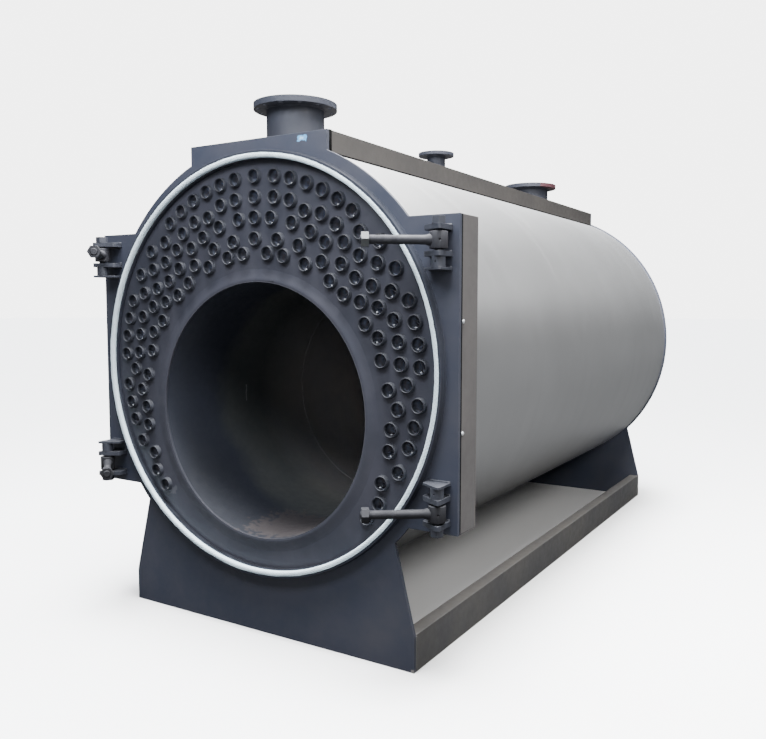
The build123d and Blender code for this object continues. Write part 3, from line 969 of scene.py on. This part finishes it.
for name, joint in joints.items():
    fitting = name.removesuffix("_swing")
    pivot = Vector(joint["pos_m"])
    swing = radians(-joint["range_deg"][0])
    side = 1 if pivot.x > 0 else -1
    heading = Matrix.Rotation(-pi + swing if side > 0 else -swing, 4, "Z")
    place = Matrix.Translation(pivot) @ heading
    if side < 0:
        place = place @ Matrix.Rotation(pi, 4, "X")
    eye = turned(
        f"{fitting}_swing_eye",
        [
            (pin_bore, -eye_half),
            (pin_bore, eye_half),
            (eye_r - 0.003, eye_half),
            (eye_r - 0.0008, eye_half - 0.0008),
            (eye_r, eye_half - 0.003),
            (eye_r, 0.003 - eye_half),
            (eye_r - 0.0008, 0.0008 - eye_half),
            (eye_r - 0.003, -eye_half),
            (pin_bore, -eye_half),
        ],
        48,
    )
    cut(eye, moved(turned("rod", rod_profile, 28), along_x), "UNION")
    oil_way = turned("oil_way", oil_profile, 20)
    cut(eye, moved(oil_way, towards_front @ Matrix.Rotation(pi, 4, "X")), "DIFFERENCE")
    moved(eye, place)
    smooth(eye, 32)
    # The lower bolts and their nuts take the darker copy: painted shade.
    rod_finish = bolt_steel if fitting.endswith("upper") else bolt_steel_shaded
    settle(eye, f"{fitting}_swing_bolt", rod_finish, (f"{fitting}_eye_bolt",))
    nut = hexagon(f"{fitting}_swing_nut", nut_flats, nut_height, nut_chamfer)
    cut(nut, turned("bore", nut_bore, 28), "DIFFERENCE")
    moved(nut, Matrix.Translation((nut_start, 0, 0)) @ along_x)
    moved(nut, place)
    smooth(nut, 25)
    nut_finish = zinc_nut if fitting == "right_upper" else rod_finish
    settle(nut, f"{fitting}_swing_bolt", nut_finish, (f"{fitting}_nut",))

# Welds that hold the lugs to the ears, along the upper and lower side of each
weld_angle = 60
lug_weld_r = 0.0055
lug_weld_inset = 0.003
lug_places = []
for fitting in ("right_upper", "right_lower", "left_upper", "left_lower"):
    for low, high in solids_in(f"{fitting}_bracket"):
        for face in (low.z - 0.001, high.z + 0.001):
            spot = (low.x + lug_weld_inset, high.y - 0.001, face)
            lug_places.append(Matrix.Translation(spot) @ along_x)
# The lugs are alike, so the last one gives the length
lug_run = weld_run(high.x - low.x - 2 * lug_weld_inset, lug_weld_r)
lug_welds = copied(lug_run, "lug_welds", lug_places)
smooth(lug_welds, weld_angle)
settle(lug_welds, "boiler", fitting_paint)

# Welds of the base channels to the casing plates
channel_weld_r = 0.005
channel_weld_inset = 0.004
channel_places = []
for side in ("right", "left"):
    low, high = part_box(f"{side}_base_channel")
    outer_x = high.x - 0.001 if side == "right" else low.x + 0.001
    for end in (low.y + 0.0015, high.y - 0.0015):
        channel_places.append(Matrix.Translation((outer_x, end, low.z + channel_weld_inset)))
# The channels are alike, so the last one gives the length
channel_run = weld_run(high.z - low.z - 2 * channel_weld_inset, channel_weld_r)
channel_welds = copied(channel_run, "channel_welds", channel_places)
smooth(channel_welds, weld_angle)
settle(channel_welds, "boiler", channel_paint)

# Weld round the door seat, slope round the furnace mouth, the furnace's own seams,
# and welds under the flanges
ring_weld_r = 0.005
pipe_weld_r = 0.006
furnace_wall = 0.014
seam_depths = (1.08, 2.18)
seat_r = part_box("door_seat_outer_ring")[1].x
furnace_low, furnace_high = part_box("furnace_tube")
furnace_z = (furnace_low.z + furnace_high.z) / 2
furnace_bore = furnace_high.x - furnace_wall
seat_weld = weld_ring("door_seat_weld", seat_r, ring_weld_r)
moved(seat_weld, Matrix.Translation((0, plate_front, axis_z)) @ towards_front)
smooth(seat_weld, weld_angle)
settle(seat_weld, "boiler", seat_paint)
rim = plate_front - furnace_low.y
mouth_r = furnace_high.x
lip_r = mouth_r + 0.0500
mouth_lip = turned(
    "furnace_mouth_lip",
    [
        (lip_r, -0.0006),
        (mouth_r + 0.0340, rim * 0.15),
        (mouth_r + 0.0180, rim * 0.5),
        (mouth_r + 0.0060, rim * 0.85),
        (mouth_r - 0.0020, rim + 0.0003),
        (furnace_bore + 0.0050, rim + 0.0003),
        (furnace_bore + 0.0018, rim - 0.0006),
        (furnace_bore + 0.0002, rim - 0.0026),
        (furnace_bore - 0.0004, rim - 0.0060),
        (furnace_bore - 0.0004, -0.0040),
        (furnace_bore + 0.0030, -0.0060),
        (lip_r, -0.0020),
        (lip_r, -0.0006),
    ],
    160,
)
moved(mouth_lip, Matrix.Translation((0, plate_front, furnace_z)) @ towards_front)
smooth(mouth_lip, weld_angle)
settle(mouth_lip, "boiler", mouth_paint)
seam_places = [
    Matrix.Translation((0, depth, furnace_z)) @ towards_front for depth in seam_depths
]
seam = weld_ring("seam", furnace_bore + 0.002, ring_weld_r)
furnace_seams = copied(seam, "furnace_seams", seam_places)
smooth(furnace_seams, weld_angle)
settle(furnace_seams, "boiler", furnace_steel)
for connection in ("supply", "safety", "return"):
    low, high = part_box(f"{connection}_pipe")
    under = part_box(f"{connection}_flange")[0].z
    middle = (low + high) / 2
    pipe_weld = weld_ring(f"{connection}_flange_weld", (high.x - low.x) / 2, pipe_weld_r)
    moved(pipe_weld, Matrix.Translation((middle.x, middle.y, under)))
    smooth(pipe_weld, weld_angle)
    settle(pipe_weld, "boiler", flange_paint)

# Slotted screws in the sides of the ear casings
screw_heights = (1.0174, 1.4605)
screw_setback = 0.0225
screw_rise = 0.0046
screw_profile = [
    (0.0082, -0.001),
    (0.0082, 0.0012),
    (0.0072, 0.0028),
    (0.0050, 0.0040),
    (0.0020, screw_rise),
]
screw = turned("screw", screw_profile, 20)
slot_tool = bar("slot", (0.03, 0.0018, 0.004), 0.0002, 1)
cut(screw, moved(slot_tool, Matrix.Translation((0, 0, screw_rise))), "DIFFERENCE")
screw_places = []
for side, turn in (("right", 1), ("left", -1)):
    low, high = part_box(f"{side}_ear_casing")
    outer_x = high.x if turn > 0 else low.x
    face_turn = Matrix.Rotation(turn * pi / 2, 4, "Y")
    for i, height in enumerate(screw_heights):
        face = Matrix.Translation((outer_x, low.y + screw_setback, height)) @ face_turn
        screw_places.append(face @ Matrix.Rotation(0.7 + 0.9 * i, 4, "Z"))
screws = copied(screw, "ear_screws", screw_places)
smooth(screws)
settle(screws, "boiler", wire_bright_and_glint)

# Black strips of painted shade in the joints: round the front end of the deck, along the foot of
# its skirts and behind the ears
deck_low, deck_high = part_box("top_deck")
deck_middle = (deck_low + deck_high) / 2
gap_strip_t = 0.0016
gap_strip_width = 0.018
gap_strip_bevel = 0.0004
ear_gap_strip_t = 0.0024
ear_gap_strip_width = 0.012
deck_width = deck_high.x - deck_low.x
deck_drop = deck_high.z - deck_low.z
deck_length = deck_high.y - deck_low.y
front_y = deck_low.y + gap_strip_width / 2


def strip_at(name, size, bevel, middle):
    """Black strip of painted shade about a place."""
    return moved(bar(name, size, bevel), Matrix.Translation(middle))


top_size = (deck_width + 2 * gap_strip_t, gap_strip_width, gap_strip_t)
gap_shade_pieces = [strip_at("top_strip", top_size, gap_strip_bevel, (0, front_y, deck_high.z + gap_strip_t / 2))]
for side_x, outwards in ((deck_high.x, 1), (deck_low.x, -1)):
    upright_place = (side_x + outwards * gap_strip_t / 2, front_y, deck_high.z - deck_drop / 2)
    upright_size = (gap_strip_t, gap_strip_width, deck_drop)
    gap_shade_pieces.append(strip_at("side_strip", upright_size, gap_strip_bevel, upright_place))
    foot_place = (side_x, deck_middle.y, deck_low.z + 0.001)
    gap_shade_pieces.append(strip_at("foot_strip", (0.005, deck_length, 0.008), 0.0012, foot_place))
for side, turn in (("right", 1), ("left", -1)):
    low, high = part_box(f"{side}_ear_casing")
    outer_x = high.x if turn > 0 else low.x
    ear_place = (outer_x, low.y + ear_gap_strip_width / 2, (low.z + high.z) / 2)
    ear_size = (ear_gap_strip_t, ear_gap_strip_width, high.z - low.z)
    gap_shade_pieces.append(strip_at("ear_strip", ear_size, gap_strip_bevel, ear_place))
gap_shade_strips = joined("casing_gap_shade_strips", gap_shade_pieces)
smooth(gap_shade_strips)
settle(gap_shade_strips, "boiler", black_gap_shade)

# Rear cover: hexagon bolts on washers round its edge, and two lifting handles
cover_low, cover_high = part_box("smoke_box_cover")
cover_r = (cover_high.x - cover_low.x) / 2
bolt_count = 24
bolt_circle = cover_r - 0.024
bolt_flats, bolt_rise, bolt_chamfer = 0.030, 0.014, 0.0016
washer_profile = [(0.021, -0.001), (0.021, 0.0025), (0.0195, 0.0035), (0.010, 0.0035)]
bolt_head = hexagon("bolt_head", bolt_flats, bolt_rise, bolt_chamfer)
washer = turned("washer", washer_profile, 28)
moved(bolt_head, Matrix.Translation((0, 0, 0.003)))
bolt_head = joined("bolt_head", [bolt_head, washer])
bolt_places = []
for i in range(bolt_count):
    turn = 2 * pi * (i + 0.5) / bolt_count
    spot = (bolt_circle * cos(turn), cover_high.y, axis_z + bolt_circle * sin(turn))
    bolt_places.append(Matrix.Translation(spot) @ along_y @ Matrix.Rotation(0.4 * i, 4, "Z"))
cover_bolts = copied(bolt_head, "cover_bolts", bolt_places)
smooth(cover_bolts, 25)
settle(cover_bolts, "boiler", fitting_paint)

handle_x = 0.5
handle_drop = 0.15
clear_selection()
bpy.ops.mesh.primitive_torus_add(
    major_radius=0.085, minor_radius=0.010, major_segments=40, minor_segments=14
)
handle = bpy.context.object
handle.name = "handle"
bpy.ops.object.mode_set(mode="EDIT")
bpy.ops.mesh.select_all(action="SELECT")
bpy.ops.mesh.bisect(plane_co=(0, 0, 0), plane_no=(1, 0, 0), clear_inner=True, use_fill=True)
bpy.ops.mesh.select_all(action="SELECT")
bpy.ops.transform.resize(value=(0.75, 1, 1))
bpy.ops.object.mode_set(mode="OBJECT")
handle_places = []
for x in (-handle_x, handle_x):
    spot = Matrix.Translation((x, cover_high.y - 0.001, axis_z - handle_drop))
    upright = spot @ Matrix.Rotation(pi / 2, 4, "Z")
    handle_places.append(upright @ Matrix.Rotation(pi / 2, 4, "X"))
handles = copied(handle, "cover_handles", handle_places)
smooth(handles, 50)
settle(handles, "boiler", fitting_paint)


# Floor, light and camera


def softbox(name, size, place, aim, power, colour):
    """Large soft light."""
    lamp = bpy.data.lights.new(name, "AREA")
    lamp.shape = "RECTANGLE"
    lamp.size, lamp.size_y = size
    lamp.energy = power
    lamp.color = colour
    holder = bpy.data.objects.new(name, lamp)
    bpy.context.scene.collection.objects.link(holder)
    holder.location = place
    holder.rotation_euler = (Vector(aim) - Vector(place)).to_track_quat("-Z", "Y").to_euler()


# The floor looks pale, and throws little light back
floor_seen = (0.86, 0.86, 0.86, 1)
floor_bounce = (0.018, 0.018, 0.018, 1)
clear_selection()
bpy.ops.mesh.primitive_circle_add(vertices=96, radius=90, fill_type="NGON")
floor = bpy.context.object
floor.name = "studio_floor"
floor_finish, floor_tree, floor_surface = new_finish("studio_floor_pale")
is_seen = node(floor_tree, "ShaderNodeLightPath").outputs["Is Camera Ray"]
floor_colour = mix(floor_tree, is_seen, floor_bounce, floor_seen)
feed(floor_tree, floor_surface.inputs["Base Color"], floor_colour)
floor_surface.inputs["Roughness"].default_value = 0.9
floor.data.materials.append(floor_finish)

# Name, size, place, what it points at, power in watts, colour
softbox("ceiling", (4, 4), (0.8, 0.9, 5.0), (0.4, 0.9, 0), 950, (1.0, 0.99, 0.97))
softbox("front_window", (2.4, 1.0), (0.5, -1.8, 3.6), (0.1, 0, 1.9), 128, (0.92, 0.95, 1.0))
softbox("front_fill", (1.6, 1.2), (3.4, -5.2, 2.6), (0, 0, 1.4), 45, (0.94, 0.96, 1.0))
softbox("side_window", (3.0, 2), (4.8, -1.0, 4.2), (0.9, 0.5, 1.9), 190, (1.0, 0.98, 0.95))
softbox("rear_window", (2.4, 1.6), (4.4, 6.5, 4.0), (0.95, 0.4, 1.6), 16, (1.0, 1.0, 1.0))

# Bright sky light from above, dim at the level of the floor
world = bpy.data.worlds.new("studio_air")
bpy.context.scene.world = world
world.use_nodes = True
air = world.node_tree
air.nodes.clear()
rise = parts(air, node(air, "ShaderNodeTexCoord").outputs["Generated"])["Z"]
sky = {"Color": (0.95, 0.97, 1, 1), "Strength": spread(air, rise, 0.95, 1.0, 0.06, 120.0)}
overhead = node(air, "ShaderNodeBackground", sky)
seen = node(air, "ShaderNodeBackground", {"Color": (1, 1, 1, 1), "Strength": 5.0})
is_seen = node(air, "ShaderNodeLightPath").outputs["Is Camera Ray"]
blend = node(air, "ShaderNodeMixShader", {0: is_seen})
air.links.new(overhead.outputs[0], blend.inputs[1])
air.links.new(seen.outputs[0], blend.inputs[2])
air.links.new(blend.outputs[0], node(air, "ShaderNodeOutputWorld").inputs[0])

# Camera at the photograph's viewing angle
camera_place = (2.3956, -2.7722, 1.527)
yaw, pitch, roll = radians(31.171), radians(-4.5896), radians(0.1033)
ahead = Vector((-sin(yaw) * cos(pitch), cos(yaw) * cos(pitch), sin(pitch)))
right = Vector((cos(yaw), sin(yaw), 0))
up = right.cross(ahead)
across = cos(roll) * right + sin(roll) * up
upward = cos(roll) * up - sin(roll) * right
lens = bpy.data.cameras.new("photo_camera")
lens.sensor_fit = "HORIZONTAL"
lens.sensor_width = 36
lens.lens = 37.29
lens.shift_x = -0.01374
lens.shift_y = -0.00195
lens.clip_end = 200
camera = bpy.data.objects.new("photo_camera", lens)
bpy.context.scene.collection.objects.link(camera)
camera_turn = Matrix((across, upward, -ahead)).transposed().to_4x4()
camera.matrix_world = Matrix.Translation(camera_place) @ camera_turn
bpy.context.scene.camera = camera
